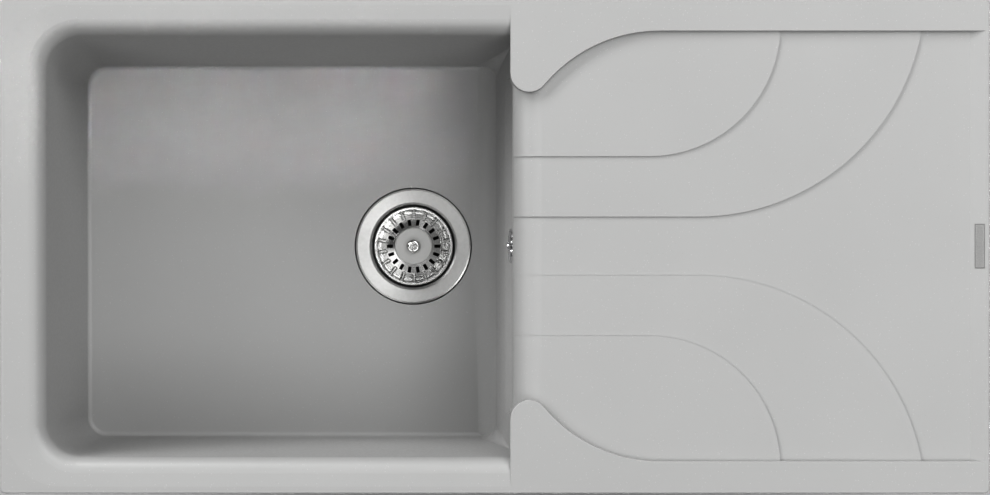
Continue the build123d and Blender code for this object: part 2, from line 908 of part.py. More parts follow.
basket_stem = turned(
    drain_plane,
    drain_axis,
    [
        (0, post_foot_z),
        (post_shoulder_radius, post_foot_z),
        (post_shoulder_radius, disc_z - seat_gap),
        (post_radius, disc_z - seat_gap),
        (post_radius, knob_z + knob_height - knob_cap - knob_top_play),
        (0, knob_z + knob_height - knob_cap - knob_top_play),
    ],
)
basket_stem.label = "basket_stem"
export_step(basket_stem, "parts/basket_stem.step")

with BuildPart() as basket_knob:
    add(
        turned(
            drain_plane,
            drain_axis,
            [
                (post_radius + running_clearance, knob_z),
                (knob_waist_radius + knob_foot_flare, knob_z),
                (knob_waist_radius, knob_z + knob_waist_share * knob_height),
                (knob_radius, knob_z + knob_brim_share * knob_height),
                (knob_radius, knob_z + knob_height),
                (0, knob_z + knob_height),
                (0, knob_z + knob_height - knob_cap),
                (post_radius + running_clearance, knob_z + knob_height - knob_cap),
            ],
        )
    )
    fillet(basket_knob.faces().sort_by(Axis.Z)[-1].edges(), knob_round)
basket_knob.part.label = "basket_knob"
export_step(basket_knob.part, "parts/basket_knob.step")

basket_stopper = turned(
    drain_plane,
    drain_axis,
    [
        (stopper_neck_radius, stopper_bottom_z),
        (stopper_radius, stopper_bottom_z),
        (stopper_radius - stopper_lip, stopper_bottom_z + stopper_lip_height),
        (stopper_cone_radius, stopper_top_z),
        (stopper_neck_radius, stopper_top_z + stopper_neck_height),
        (post_shoulder_radius + running_clearance, stopper_top_z + stopper_neck_height),
        (post_shoulder_radius + running_clearance, post_foot_z),
        (stopper_neck_radius, post_foot_z),
    ],
)
basket_stopper.label = "basket_stopper"
export_step(basket_stopper, "parts/basket_stopper.step")

# ---------------------------------------------------------------- overflow
# In this plane x is the distance from the overflow's axis and y runs into the bowl
overflow_plane = Plane(origin=(overflow_wall_x, 0, overflow_z), x_dir=(0, 0, 1), z_dir=(0, -1, 0))
overflow_axis = Axis((overflow_wall_x, 0, overflow_z), (1, 0, 0))
gasket_face = -wall - overflow_gasket_height
housing_back = gasket_face - housing_depth
screw_seat = rosette_height - screw_seat_depth

with BuildPart() as overflow_rosette:
    add(
        turned(
            overflow_plane,
            overflow_axis,
            [
                (overflow_screw_radius + overflow_screw_play, -rosette_boss_drop),
                (rosette_boss_radius, -rosette_boss_drop),
                (rosette_boss_radius, rosette_height - 2 * sheet),
                (rosette_radius - 2 * sheet, rosette_height - 2 * sheet),
                (rosette_radius - sheet, 0),
                (rosette_radius, 0),
                (rosette_radius, rosette_edge),
                (rosette_radius - rosette_bevel, rosette_height - sheet / 2),
                (screw_head_radius + rosette_edge, rosette_height),
                (screw_head_radius + screw_seat_margin, rosette_height - screw_seat_depth),
                (overflow_screw_radius + overflow_screw_play, rosette_height - screw_seat_depth),
            ],
        )
    )
    with Locations(Location((overflow_wall_x, 0, overflow_z), (0, -90, 0))):
        with PolarLocations(rosette_hole_circle, rosette_hole_count, start_angle=180 / rosette_hole_count):
            Cylinder(
                rosette_hole_radius,
                2 * rosette_height,
                align=(Align.CENTER, Align.CENTER, Align.MIN),
                mode=Mode.SUBTRACT,
            )
overflow_rosette.part.label = "overflow_rosette"
export_step(overflow_rosette.part, "parts/overflow_rosette.step")

overflow_screw = turned(
    overflow_plane,
    overflow_axis,
    [
        (0, housing_back + housing_wall + overflow_screw_end_gap),
        (overflow_screw_radius, housing_back + housing_wall + overflow_screw_end_gap),
        (overflow_screw_radius, screw_seat),
        (screw_head_radius, screw_seat),
        (screw_head_radius - screw_head_bevel, screw_seat + screw_head_height),
        (0, screw_seat + screw_head_height),
    ],
)
overflow_screw.label = "overflow_screw"
export_step(overflow_screw, "parts/overflow_screw.step")

overflow_gasket = turned(
    overflow_plane,
    overflow_axis,
    [
        (overflow_hole_radius + gasket_inset, gasket_face),
        (housing_flange_radius - gasket_inset, gasket_face),
        (housing_flange_radius - gasket_inset, -wall),
        (overflow_hole_radius + gasket_inset, -wall),
    ],
)
overflow_gasket.label = "overflow_gasket"
export_step(overflow_gasket, "parts/overflow_gasket.step")

pipe_x = outer_wall_x + pipe_set_back
spigot_end_z = overflow_z - spigot_drop
chamber_radius = housing_radius - housing_wall

with BuildPart() as overflow_housing:
    add(
        turned(
            overflow_plane,
            overflow_axis,
            [
                (0, housing_back),
                (housing_radius, housing_back),
                (housing_radius, gasket_face - housing_wall),
                (housing_flange_radius, gasket_face - housing_wall),
                (housing_flange_radius, gasket_face),
                (0, gasket_face),
            ],
        )
    )
    with Locations((pipe_x, 0, spigot_end_z)):
        Cylinder(pipe_radius, spigot_drop, align=(Align.CENTER, Align.CENTER, Align.MIN))
    with Locations((pipe_x, 0, spigot_end_z - 1)):
        Cylinder(
            pipe_radius - pipe_wall,
            spigot_drop + 1,
            align=(Align.CENTER, Align.CENTER, Align.MIN),
            mode=Mode.SUBTRACT,
        )
    chamber_depth = housing_depth - housing_wall
    with Locations(Location((overflow_wall_x - gasket_face, 0, overflow_z), (0, 90, 0))):
        Cylinder(
            chamber_radius,
            chamber_depth,
            align=(Align.CENTER, Align.CENTER, Align.MIN),
            mode=Mode.SUBTRACT,
        )
    with Locations(Location((overflow_wall_x - housing_back, 0, overflow_z), (0, -90, 0))):
        Cylinder(rosette_boss_radius, chamber_depth / 2, align=(Align.CENTER, Align.CENTER, Align.MIN))
    screw_hole_x = overflow_wall_x - housing_back - housing_wall / 2
    with Locations(Location((screw_hole_x, 0, overflow_z), (0, -90, 0))):
        Cylinder(
            overflow_screw_radius + thread_clearance,
            chamber_depth,
            align=(Align.CENTER, Align.CENTER, Align.MIN),
            mode=Mode.SUBTRACT,
        )
overflow_housing.part.label = "overflow_housing"
export_step(overflow_housing.part, "parts/overflow_housing.step")

# ---------------------------------------------------------------- overflow pipe
pipe_axis = Axis((pipe_x, 0, 0), (0, 0, 1))
pipe_plane = Plane(origin=(pipe_x, 0, 0), x_dir=(1, 0, 0), z_dir=(0, -1, 0))
hose_top_z = spigot_end_z + cuff_length + cuff_margin
hose_bottom_z = inlet_z + bend_radius + bend_straight
hose_bore = pipe_radius + hose_clearance
hose_radius = hose_bore + hose_wall
ribbed_length = hose_top_z - hose_bottom_z - 2 * cuff_length
rib_pitch = ribbed_length / rib_count

rib_points = []
for rib in range(rib_count):
    rib_z = hose_bottom_z + cuff_length + rib * rib_pitch
    rib_points += [(hose_radius, rib_z), (hose_radius + rib_height, rib_z + rib_pitch / 2)]
overflow_hose = turned(
    pipe_plane,
    pipe_axis,
    [(hose_bore, hose_bottom_z), (hose_radius, hose_bottom_z)]
    + rib_points
    + [(hose_radius, hose_top_z - cuff_length), (hose_radius, hose_top_z), (hose_bore, hose_top_z)],
)
overflow_hose.label = "overflow_hose"
export_step(overflow_hose, "parts/overflow_hose.step")

with BuildPart() as hose_clips:
    for band_z in (hose_bottom_z + cuff_margin, hose_top_z - cuff_margin - hose_band_width):
        with BuildSketch(Plane((pipe_x, 0, band_z))):
            Circle(hose_radius + hose_band_play + hose_band_sheet)
            Circle(hose_radius + hose_band_play, mode=Mode.SUBTRACT)
        extrude(amount=hose_band_width)
        with Locations((pipe_x + hose_radius + hose_band_sheet, 0, band_z)):
            Box(
                tightener_length,
                tightener_width,
                hose_band_width,
                align=(Align.MIN, Align.CENTER, Align.MIN),
            )
hose_clips.part.label = "hose_clips"
export_step(hose_clips.part, "parts/hose_clips.step")

inlet_end_x = drain_x + bore_radius + body_wall + inlet_length
bend_top_z = hose_bottom_z + cuff_length - 1
with BuildPart() as overflow_bend:
    with BuildLine(Plane.XZ) as bend_path:
        down = Line((pipe_x, bend_top_z), (pipe_x, inlet_z + bend_radius))
        JernArc(down @ 1, (0, -1), bend_radius, -90)
        Line((pipe_x - bend_radius, inlet_z), (inlet_end_x - spigot_length, inlet_z))
    with BuildSketch(Plane((pipe_x, 0, bend_top_z), z_dir=(0, 0, -1))):
        Circle(pipe_radius)
        Circle(pipe_radius - pipe_wall, mode=Mode.SUBTRACT)
    sweep()
overflow_bend.part.label = "overflow_bend"
export_step(overflow_bend.part, "parts/overflow_bend.step")

with BuildPart() as inlet_nut:
    with BuildSketch(Plane((inlet_end_x + nut_lip, 0, inlet_z), z_dir=(-1, 0, 0))):
        RegularPolygon(inlet_radius + nut_wall + nut_corner, nut_sides)
    extrude(amount=nut_grip + nut_lip)
    with Locations(Location((inlet_end_x + nut_lip + 1, 0, inlet_z), (0, -90, 0))):
        Cylinder(
            pipe_radius + hose_clearance,
            nut_grip + 2 * nut_lip,
            align=(Align.CENTER, Align.CENTER, Align.MIN),
            mode=Mode.SUBTRACT,
        )
    with Locations(Location((inlet_end_x + seat_gap, 0, inlet_z), (0, -90, 0))):
        Cylinder(
            inlet_radius + nut_play,
            nut_grip + nut_lip,
            align=(Align.CENTER, Align.CENTER, Align.MIN),
            mode=Mode.SUBTRACT,
        )
inlet_nut.part.label = "inlet_nut"
export_step(inlet_nut.part, "parts/inlet_nut.step")

# ---------------------------------------------------------------- fixing clips
insert_bottom_z = -clip_boss_depth
insert_bore = clip_screw_radius + thread_clearance
hub_bottom_z = -worktop - arm_sheet - arm_crank

with BuildPart() as clip_inserts:
    with BuildSketch(Plane.XY.offset(insert_bottom_z)):
        with Locations(*clip_points):
            Circle(insert_radius - thread_clearance)
            Circle(insert_bore, mode=Mode.SUBTRACT)
    extrude(amount=insert_length)
clip_inserts.part.label = "clip_inserts"
export_step(clip_inserts.part, "parts/clip_inserts.step")

screw_tip_z = insert_bottom_z + insert_length - screw_tip_gap
with BuildPart() as clip_screws:
    with BuildSketch(Plane.XY.offset(hub_bottom_z - seat_gap)):
        with Locations(*clip_points):
            Circle(clip_screw_radius)
    extrude(amount=screw_tip_z - hub_bottom_z + seat_gap)
    with BuildSketch(Plane.XY.offset(hub_bottom_z - seat_gap)):
        with Locations(*clip_points):
            RegularPolygon(clip_head_radius, 6)
    extrude(amount=-clip_head_height)
clip_screws.part.label = "clip_screws"
export_step(clip_screws.part, "parts/clip_screws.step")

with BuildPart() as clip_arm:
    with BuildSketch(Plane.XZ):
        with BuildLine():
            Polyline(
                (-arm_width / 2, hub_bottom_z),
                (arm_width, hub_bottom_z),
                (arm_width + arm_crank, hub_bottom_z + arm_rise),
                (arm_reach - arm_toe, hub_bottom_z + arm_rise),
                (arm_reach, hub_bottom_z + arm_rise + arm_toe_rise),
            )
            offset(amount=arm_sheet, side=Side.LEFT)
        make_face()
    extrude(amount=arm_width / 2, both=True)
    fillet(clip_arm.edges().filter_by(Axis.Z).group_by(Axis.X)[0], 0.98 * arm_width / 2)
    with BuildSketch(Plane.XY.offset(hub_bottom_z - 1)):
        Circle(clip_screw_radius + running_clearance)
    extrude(amount=2 * arm_sheet, mode=Mode.SUBTRACT)

for number, (x, y) in enumerate(clip_points, start=1):
    placed = clip_arm.part.moved(Location((x, y, 0)))
    placed.label = f"clip_arm_{number}"
    export_step(placed, f"parts/clip_arm_{number}.step")
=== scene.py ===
import json
import math

import bpy
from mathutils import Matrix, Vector


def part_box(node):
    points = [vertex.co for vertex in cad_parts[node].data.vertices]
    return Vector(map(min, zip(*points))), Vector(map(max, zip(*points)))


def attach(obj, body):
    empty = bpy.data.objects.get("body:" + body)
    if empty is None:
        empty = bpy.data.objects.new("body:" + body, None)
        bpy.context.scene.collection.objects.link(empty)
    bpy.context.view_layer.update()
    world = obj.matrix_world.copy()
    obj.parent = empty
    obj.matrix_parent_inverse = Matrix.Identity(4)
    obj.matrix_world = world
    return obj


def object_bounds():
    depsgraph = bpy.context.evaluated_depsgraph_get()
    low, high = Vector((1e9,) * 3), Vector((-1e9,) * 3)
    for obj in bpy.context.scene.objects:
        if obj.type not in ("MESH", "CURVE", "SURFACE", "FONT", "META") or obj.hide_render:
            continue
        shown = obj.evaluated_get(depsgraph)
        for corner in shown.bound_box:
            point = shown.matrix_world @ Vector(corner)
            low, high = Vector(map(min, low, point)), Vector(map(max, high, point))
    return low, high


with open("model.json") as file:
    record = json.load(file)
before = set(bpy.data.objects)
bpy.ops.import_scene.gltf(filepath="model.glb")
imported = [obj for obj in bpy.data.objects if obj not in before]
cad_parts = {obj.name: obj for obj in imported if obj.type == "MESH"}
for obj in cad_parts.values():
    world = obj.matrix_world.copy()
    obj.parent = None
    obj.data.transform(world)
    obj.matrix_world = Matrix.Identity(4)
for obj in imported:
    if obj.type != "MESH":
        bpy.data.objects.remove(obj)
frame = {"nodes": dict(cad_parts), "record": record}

cad_low, cad_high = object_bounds()
nodes = frame["nodes"]
bpy.ops.object.select_all(action="DESELECT")


# ---------------------------------------------------------------- sink moulding
# One casting of quartz sand in acrylic resin, coloured right through. Its skin is matt
# and even, with fine paler and darker grains that only show from close up.
def start_finish(name, colour, roughness, metallic=0.0):
    """A new material with its shader set, and what is needed to add to it."""
    made = bpy.data.materials.new(name)
    made.use_nodes = True
    tree = made.node_tree
    shader = tree.nodes["Principled BSDF"]
    shader.inputs["Base Color"].default_value = (*colour, 1.0)
    shader.inputs["Roughness"].default_value = roughness
    shader.inputs["Metallic"].default_value = metallic
    place = tree.nodes.new("ShaderNodeTexCoord")
    return made, tree, shader, place.outputs["Object"]


def noise(tree, place, scale, detail=2.0):
    """A noise texture's value at a place, from 0 to 1."""
    texture = tree.nodes.new("ShaderNodeTexNoise")
    texture.inputs["Scale"].default_value = scale
    texture.inputs["Detail"].default_value = detail
    tree.links.new(place, texture.inputs["Vector"])
    return texture.outputs["Fac"]


def spread(tree, value, low, high, from_low=0.3, from_high=0.7):
    """A value stretched from one range to another, and held at its ends."""
    ranged = tree.nodes.new("ShaderNodeMapRange")
    ranged.inputs["From Min"].default_value = from_low
    ranged.inputs["From Max"].default_value = from_high
    ranged.inputs["To Min"].default_value = low
    ranged.inputs["To Max"].default_value = high
    tree.links.new(value, ranged.inputs["Value"])
    return ranged.outputs["Result"]


def tint(tree, share, under, over):
    """One colour laid over another, by a share from 0 to 1."""
    mix = tree.nodes.new("ShaderNodeMix")
    mix.data_type = "RGBA"
    tree.links.new(share, mix.inputs["Factor"])
    for socket, colour in ((mix.inputs["A"], under), (mix.inputs["B"], over)):
        if isinstance(colour, tuple):
            socket.default_value = (*colour, 1.0)
        else:
            tree.links.new(colour, socket)
    return mix.outputs["Result"]


def mottle(tree, pattern, first, second):
    """A colour that drifts between two tones, by a pattern."""
    return tint(tree, spread(tree, pattern, 0.0, 1.0), first, second)


def vary_gloss(tree, shader, pattern, smoothest, dullest):
    """Roughness that drifts between two values, by a pattern."""
    tree.links.new(spread(tree, pattern, smoothest, dullest), shader.inputs["Roughness"])


def roughen(tree, shader, height, strength, depth):
    """Small bumps from a height value, on top of any that are there already."""
    bump = tree.nodes.new("ShaderNodeBump")
    bump.inputs["Strength"].default_value = strength
    bump.inputs["Distance"].default_value = depth
    tree.links.new(height, bump.inputs["Height"])
    if shader.inputs["Normal"].links:
        tree.links.new(shader.inputs["Normal"].links[0].from_socket, bump.inputs["Normal"])
    tree.links.new(bump.outputs["Normal"], shader.inputs["Normal"])


def sums(tree, operation, first, second):
    """The result of one sum on two values, either of which may be a plain number."""
    node = tree.nodes.new("ShaderNodeMath")
    node.operation = operation
    for socket, value in ((node.inputs[0], first), (node.inputs[1], second)):
        if isinstance(value, float):
            socket.default_value = value
        else:
            tree.links.new(value, socket)
    return node.outputs["Value"]


def grains(tree, place, scale, share):
    """Scattered grains: 1 on a few small cells of a pattern and 0 between them."""
    soft_step = 0.02
    grain_core = 0.25
    grain_edge = 0.40
    cells = tree.nodes.new("ShaderNodeTexVoronoi")
    cells.inputs["Scale"].default_value = scale
    tree.links.new(place, cells.inputs["Vector"])
    chosen = spread(tree, cells.outputs["Color"], 1.0, 0.0, share, share + soft_step)
    near = spread(tree, cells.outputs["Distance"], 1.0, 0.0, grain_core, grain_edge)
    return sums(tree, "MULTIPLY", chosen, near)


def finish_nodes(made, slot_name, *names):
    """The material goes on these nodes, which keep their meshes as they are."""
    for name in names:
        nodes[name].data.materials[0] = made


composite_grey = (0.370, 0.370, 0.368)
composite_cloud = (0.378, 0.378, 0.376)
pale_grain = (0.60, 0.60, 0.595)
dark_grain = (0.30, 0.30, 0.298)
pale_strength = 0.45
dark_strength = 0.35
composite, tree, shader, place = start_finish(
    "granite_composite_skin", composite_grey, roughness=0.42
)
cloudy = mottle(tree, noise(tree, place, scale=7.0), composite_grey, composite_cloud)
pale_grains = grains(tree, place, scale=900.0, share=0.10)
pale_share = sums(tree, "MULTIPLY", pale_grains, pale_strength)
dark_grains = grains(tree, place, scale=700.0, share=0.08)
dark_share = sums(tree, "MULTIPLY", dark_grains, dark_strength)
with_pale = tint(tree, pale_share, cloudy, pale_grain)
with_dark = tint(tree, dark_share, with_pale, dark_grain)
tree.links.new(with_dark, shader.inputs["Base Color"])
vary_gloss(tree, shader, noise(tree, place, scale=300.0), smoothest=0.38, dullest=0.46)
roughen(
    tree, shader, noise(tree, place, scale=1400.0, detail=3.0), strength=0.25, depth=0.0002
)
finish_nodes(composite, "granite_composite", "sink_basin")

# ---------------------------------------------------------------- bare plate
# A small plate of satin steel foil, glued to the ramp at the end of the drainboard, with
# a fine pressed border. It is plain, with nothing on it.
plate_middle_x = 0.490
plate_size = (0.0100, 0.0450)
plate_thickness = 0.0003
plate_border = 0.0009
plate_border_depth = 0.00012
ramp_foot = Vector((0.4808, 0.0, 0.0035))
ramp_top = Vector((0.496, 0.0, 0.008))
ramp_run = ramp_top - ramp_foot
ramp_turn = math.atan2(ramp_run.z, ramp_run.x)
plate_middle = ramp_foot + ramp_run * ((plate_middle_x - ramp_foot.x) / ramp_run.x)
bpy.ops.mesh.primitive_plane_add(size=1.0, location=plate_middle)
bare_plate = bpy.context.object
bare_plate.name = "bare_plate"
bpy.ops.object.mode_set(mode="EDIT")
bpy.ops.transform.resize(value=(plate_size[0], plate_size[1], 1.0))
bpy.ops.mesh.extrude_region_move(
    TRANSFORM_OT_translate={"value": (0.0, 0.0, plate_thickness)}
)
bpy.ops.mesh.inset(thickness=plate_border)
bpy.ops.mesh.inset(thickness=plate_border / 3, depth=-plate_border_depth)
bpy.ops.mesh.inset(thickness=plate_border / 3, depth=plate_border_depth)
bpy.ops.mesh.select_all(action="SELECT")
bpy.ops.mesh.normals_make_consistent(inside=False)
bpy.ops.object.mode_set(mode="OBJECT")
bare_plate.rotation_euler = (0.0, -ramp_turn, 0.0)
bpy.ops.object.transform_apply(location=True, rotation=True, scale=True)

foil_grey = (0.33, 0.33, 0.327)
foil_shine = (0.36, 0.36, 0.357)
# Painted shade: the band round the plate's edge is coloured darker than the foil, for the
# shade on the pressed border's slopes.
border_painted_shade = (0.26, 0.26, 0.257)
foil, tree, shader, place = start_finish(
    "plate_foil", foil_grey, roughness=0.46, metallic=0.85
)
parts = tree.nodes.new("ShaderNodeSeparateXYZ")
tree.links.new(place, parts.inputs["Vector"])
shifted_x = sums(tree, "SUBTRACT", parts.outputs["X"], plate_middle_x)
from_middle_x = sums(tree, "ABSOLUTE", shifted_x, 0.0)
from_middle_y = sums(tree, "ABSOLUTE", parts.outputs["Y"], 0.0)
# The band within plate_border of the plate's edge takes the painted shade colour.
past_x = sums(tree, "GREATER_THAN", from_middle_x, plate_size[0] / 2 - plate_border)
past_y = sums(tree, "GREATER_THAN", from_middle_y, plate_size[1] / 2 - plate_border)
painted_shade_band = sums(tree, "MAXIMUM", past_x, past_y)
brushed = mottle(tree, noise(tree, place, scale=700.0), foil_grey, foil_shine)
tree.links.new(tint(tree, painted_shade_band, brushed, border_painted_shade), shader.inputs["Base Color"])
vary_gloss(tree, shader, noise(tree, place, scale=900.0), smoothest=0.42, dullest=0.52)
roughen(tree, shader, noise(tree, place, scale=2500.0), strength=0.2, depth=0.00005)
bare_plate.data.materials.append(foil)
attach(bare_plate, "sink")
bpy.ops.object.select_all(action="DESELECT")


# ---------------------------------------------------------------- strainer and basket
# The waste's flange and cup are drawn from one stainless sheet and the basket from a
# thinner one, with slots punched and petals pressed into its dome. Both are polished
# in a lathe, which leaves fine rings round the drain.
def from_axis(tree, place, axis_x):
    """Distance from an upright axis in the sink's middle plane."""
    shifted = tree.nodes.new("ShaderNodeMapping")
    shifted.inputs["Location"].default_value = (-axis_x, 0.0, 0.0)
    shifted.inputs["Scale"].default_value = (1.0, 1.0, 0.0)
    tree.links.new(place, shifted.inputs["Vector"])
    length = tree.nodes.new("ShaderNodeVectorMath")
    length.operation = "LENGTH"
    tree.links.new(shifted.outputs["Vector"], length.inputs[0])
    return length.outputs["Value"]


def lines_along(tree, value, scale, detail=3.0):
    """Uneven fine lines, one beside another along a value, from 0 to 1."""
    texture = tree.nodes.new("ShaderNodeTexNoise")
    texture.noise_dimensions = "1D"
    texture.inputs["Scale"].default_value = scale
    texture.inputs["Detail"].default_value = detail
    tree.links.new(value, texture.inputs["W"])
    return texture.outputs["Fac"]


drain_x = -0.089
lathe_rings = 2600.0
satin_steel = (0.48, 0.48, 0.475)
satin_dark = (0.465, 0.465, 0.46)
satin_light = (0.50, 0.50, 0.495)
satin, tree, shader, place = start_finish(
    "satin_pressed_steel", satin_steel, roughness=0.38, metallic=1.0
)
ring_lines = lines_along(tree, from_axis(tree, place, drain_x), lathe_rings)
vary_gloss(tree, shader, ring_lines, smoothest=0.33, dullest=0.43)
satin_tone = mottle(tree, noise(tree, place, scale=260.0), satin_dark, satin_light)
tree.links.new(satin_tone, shader.inputs["Base Color"])
roughen(tree, shader, ring_lines, strength=0.35, depth=0.00002)
finish_nodes(satin, "pressed_steel", "strainer_cup")

# The basket's disc is left dull, with a fine bead pressed round it. Its dome is polished.
disc_radius = 0.0201
dome_edge = 0.0006
dome_steel = (0.60, 0.60, 0.595)
disc_steel = (0.42, 0.42, 0.415)
dome_polish = 0.20
polished, tree, shader, place = start_finish(
    "polished_pressed_steel", dome_steel, roughness=0.24, metallic=1.0
)
radius = from_axis(tree, place, drain_x)
ring_lines = lines_along(tree, radius, lathe_rings)
on_dome = spread(tree, radius, 0.0, 1.0, disc_radius, disc_radius + dome_edge)
tree.links.new(tint(tree, on_dome, disc_steel, dome_steel), shader.inputs["Base Color"])
dull = spread(tree, ring_lines, 0.40, 0.50)
dulling = sums(tree, "MULTIPLY", on_dome, dome_polish)
tree.links.new(sums(tree, "SUBTRACT", dull, dulling), shader.inputs["Roughness"])
roughen(tree, shader, ring_lines, strength=0.35, depth=0.00002)
finish_nodes(polished, "pressed_steel", "basket")


def upright_outline(name, corners, radius, turn, middle, shrink):
    """A closed outline that stands upright beside the axis, made from a circle."""
    bpy.ops.mesh.primitive_circle_add(
        vertices=corners, radius=radius, fill_type="NOTHING", rotation=turn, location=middle
    )
    outline = bpy.context.object
    outline.name = name
    bpy.ops.object.mode_set(mode="EDIT")
    bpy.ops.transform.resize(value=shrink, center_override=middle)
    bpy.ops.object.mode_set(mode="OBJECT")
    bpy.ops.object.transform_apply(location=True, rotation=True, scale=True)
    return outline


def wind_round(outline, steps, pitch=0.0, turns=1):
    """An outline wound round the upright axis, with its seam merged and its ends shut."""
    same_place = 0.000001
    wind = outline.modifiers.new("wind", "SCREW")
    wind.axis = "Z"
    wind.screw_offset = pitch
    wind.iterations = turns
    wind.steps = steps
    wind.render_steps = steps
    bpy.ops.object.modifier_apply(modifier="wind")
    bpy.ops.object.mode_set(mode="EDIT")
    bpy.ops.mesh.select_mode(type="EDGE")
    bpy.ops.mesh.select_all(action="SELECT")
    bpy.ops.mesh.remove_doubles(threshold=same_place)
    bpy.ops.mesh.fill_holes(sides=4)
    bpy.ops.mesh.select_all(action="SELECT")
    bpy.ops.mesh.normals_make_consistent(inside=False)
    bpy.ops.object.mode_set(mode="OBJECT")


def move_into_mesh(piece, place):
    """The piece is moved, and its place is then taken into its mesh."""
    piece.location = place
    bpy.ops.object.transform_apply(location=True, rotation=True, scale=True)


bead_radius = 0.0004
bead_corners = 8
bead_flatness = 0.6
bead_steps = 96
knob_gap = 0.0003
disc_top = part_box("basket_knob")[0].z - knob_gap
disc_bead = upright_outline(
    "basket_disc_bead",
    bead_corners,
    bead_radius,
    turn=(math.pi / 2, 0.0, 0.0),
    middle=(disc_radius - bead_radius, 0.0, disc_top),
    shrink=(1.0, 1.0, bead_flatness),
)
wind_round(disc_bead, bead_steps)
bpy.ops.object.shade_smooth()
move_into_mesh(disc_bead, (drain_x, 0.0, 0.0))
disc_bead.data.materials.append(polished)
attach(disc_bead, "basket")
bpy.ops.object.select_all(action="DESELECT")

# ---------------------------------------------------------------- knob, stem and screw
# The basket's knob and post and the screw that pulls the waste together are turned
# from stainless bar and left bright, with the finest of tool marks.
bright_steel = (0.74, 0.74, 0.73)
bright, tree, shader, place = start_finish(
    "bright_turned_steel", bright_steel, roughness=0.16, metallic=1.0
)
tool_marks = lines_along(tree, from_axis(tree, place, drain_x), scale=5200.0)
vary_gloss(tree, shader, tool_marks, smoothest=0.12, dullest=0.22)
roughen(tree, shader, tool_marks, strength=0.25, depth=0.00001)
finish_nodes(bright, "turned_steel", "basket_knob", "basket_stem", "centre_screw")

# ---------------------------------------------------------------- overflow cover
# A pressed brass cover with a bright chrome plate, held to the housing behind the wall
# by one countersunk screw through its middle. Water has left it very slightly dull.
chrome_tone = (0.80, 0.80, 0.81)
chrome, tree, shader, place = start_finish(
    "bright_chrome", chrome_tone, roughness=0.14, metallic=1.0
)
water_marks = noise(tree, place, scale=180.0, detail=4.0)
vary_gloss(tree, shader, water_marks, smoothest=0.10, dullest=0.22)
roughen(tree, shader, noise(tree, place, scale=900.0), strength=0.08, depth=0.00002)
finish_nodes(chrome, "chrome_cover", "overflow_rosette", "overflow_screw")

# ---------------------------------------------------------------- rubber and foam
# The rings above and below the floor, the ring behind the overflow and the stopper are
# moulded in black rubber. The strip under the rim is closed-cell foam, glued in.
rubber_black = (0.028, 0.028, 0.030)
rubber, tree, shader, place = start_finish("moulded_rubber", rubber_black, roughness=0.58)
vary_gloss(tree, shader, noise(tree, place, scale=420.0), smoothest=0.50, dullest=0.66)
roughen(tree, shader, noise(tree, place, scale=1600.0), strength=0.3, depth=0.00005)
rubber_rings = ("flange_gasket", "body_gasket", "overflow_gasket")
finish_nodes(rubber, "gasket_rubber", *rubber_rings, "basket_stopper")

foam_black = (0.040, 0.040, 0.042)
foam, tree, shader, place = start_finish("seal_foam", foam_black, roughness=0.92)
pores = grains(tree, place, scale=1500.0, share=0.6)
roughen(tree, shader, pores, strength=0.8, depth=0.0003)
vary_gloss(tree, shader, noise(tree, place, scale=800.0), smoothest=0.85, dullest=0.97)
finish_nodes(foam, "seal_foam", "rim_seal")


# ---------------------------------------------------------------- waste body
# Hidden under the bowl: the body, its nut, the overflow's housing and the bend are
# moulded in light grey plastic. The outlet has a coarse thread for the trap's nut.
def turns_of_thread(name, root_radius, depth, pitch, low, high, steps):
    """A raised thread round the upright axis, from one height to another."""
    ridge_share = 0.9
    corner_outwards = (-math.pi / 2, -math.pi / 2, 0.0)
    triangle_height = 1.5
    triangle_side = math.sqrt(3.0)
    ridge = upright_outline(
        name,
        corners=3,
        radius=1.0,
        turn=corner_outwards,
        middle=(root_radius + depth / 3, 0.0, low + pitch / 2),
        shrink=(depth / triangle_height, 1.0, ridge_share * pitch / triangle_side),
    )
    wind_round(ridge, steps, pitch, turns=int((high - low) / pitch) - 1)
    return ridge


waste_grey = (0.60, 0.60, 0.58)
moulded, tree, shader, place = start_finish(
    "moulded_waste_plastic", waste_grey, roughness=0.40
)
vary_gloss(tree, shader, noise(tree, place, scale=350.0), smoothest=0.34, dullest=0.46)
roughen(tree, shader, noise(tree, place, scale=1100.0), strength=0.2, depth=0.00006)
overflow_parts = ("overflow_housing", "overflow_bend")
finish_nodes(moulded, "waste_plastic", "waste_body", "inlet_nut", *overflow_parts)

outlet_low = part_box("waste_body")[0].z
outlet_radius = 0.0239
outlet_thread_start = 0.0015
outlet_thread_length = 0.027
outlet_thread_depth = 0.0009
outlet_thread_sunk = 0.0001
outlet_pitch = 0.0023
outlet_steps = 64
outlet_thread = turns_of_thread(
    "outlet_thread",
    outlet_radius - outlet_thread_sunk,
    outlet_thread_depth + outlet_thread_sunk,
    outlet_pitch,
    outlet_low + outlet_thread_start,
    outlet_low + outlet_thread_length,
    outlet_steps,
)
move_into_mesh(outlet_thread, (drain_x, 0.0, 0.0))
outlet_thread.data.materials.append(moulded)
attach(outlet_thread, "sink")
bpy.ops.object.select_all(action="DESELECT")

# ---------------------------------------------------------------- overflow hose
# A ribbed hose of soft grey plastic, from the overflow's housing down to the bend. It is
# pushed on at both ends and clamped there.
hose_grey = (0.46, 0.46, 0.45)
hose_dark = (0.44, 0.44, 0.43)
hose_light = (0.49, 0.49, 0.48)
soft_plastic, tree, shader, place = start_finish(
    "soft_hose_plastic", hose_grey, roughness=0.52
)
hose_tone = mottle(tree, noise(tree, place, scale=90.0), hose_dark, hose_light)
tree.links.new(hose_tone, shader.inputs["Base Color"])
vary_gloss(tree, shader, noise(tree, place, scale=500.0), smoothest=0.46, dullest=0.58)
roughen(tree, shader, noise(tree, place, scale=1300.0), strength=0.2, depth=0.00006)
finish_nodes(soft_plastic, "hose_plastic", "overflow_hose")

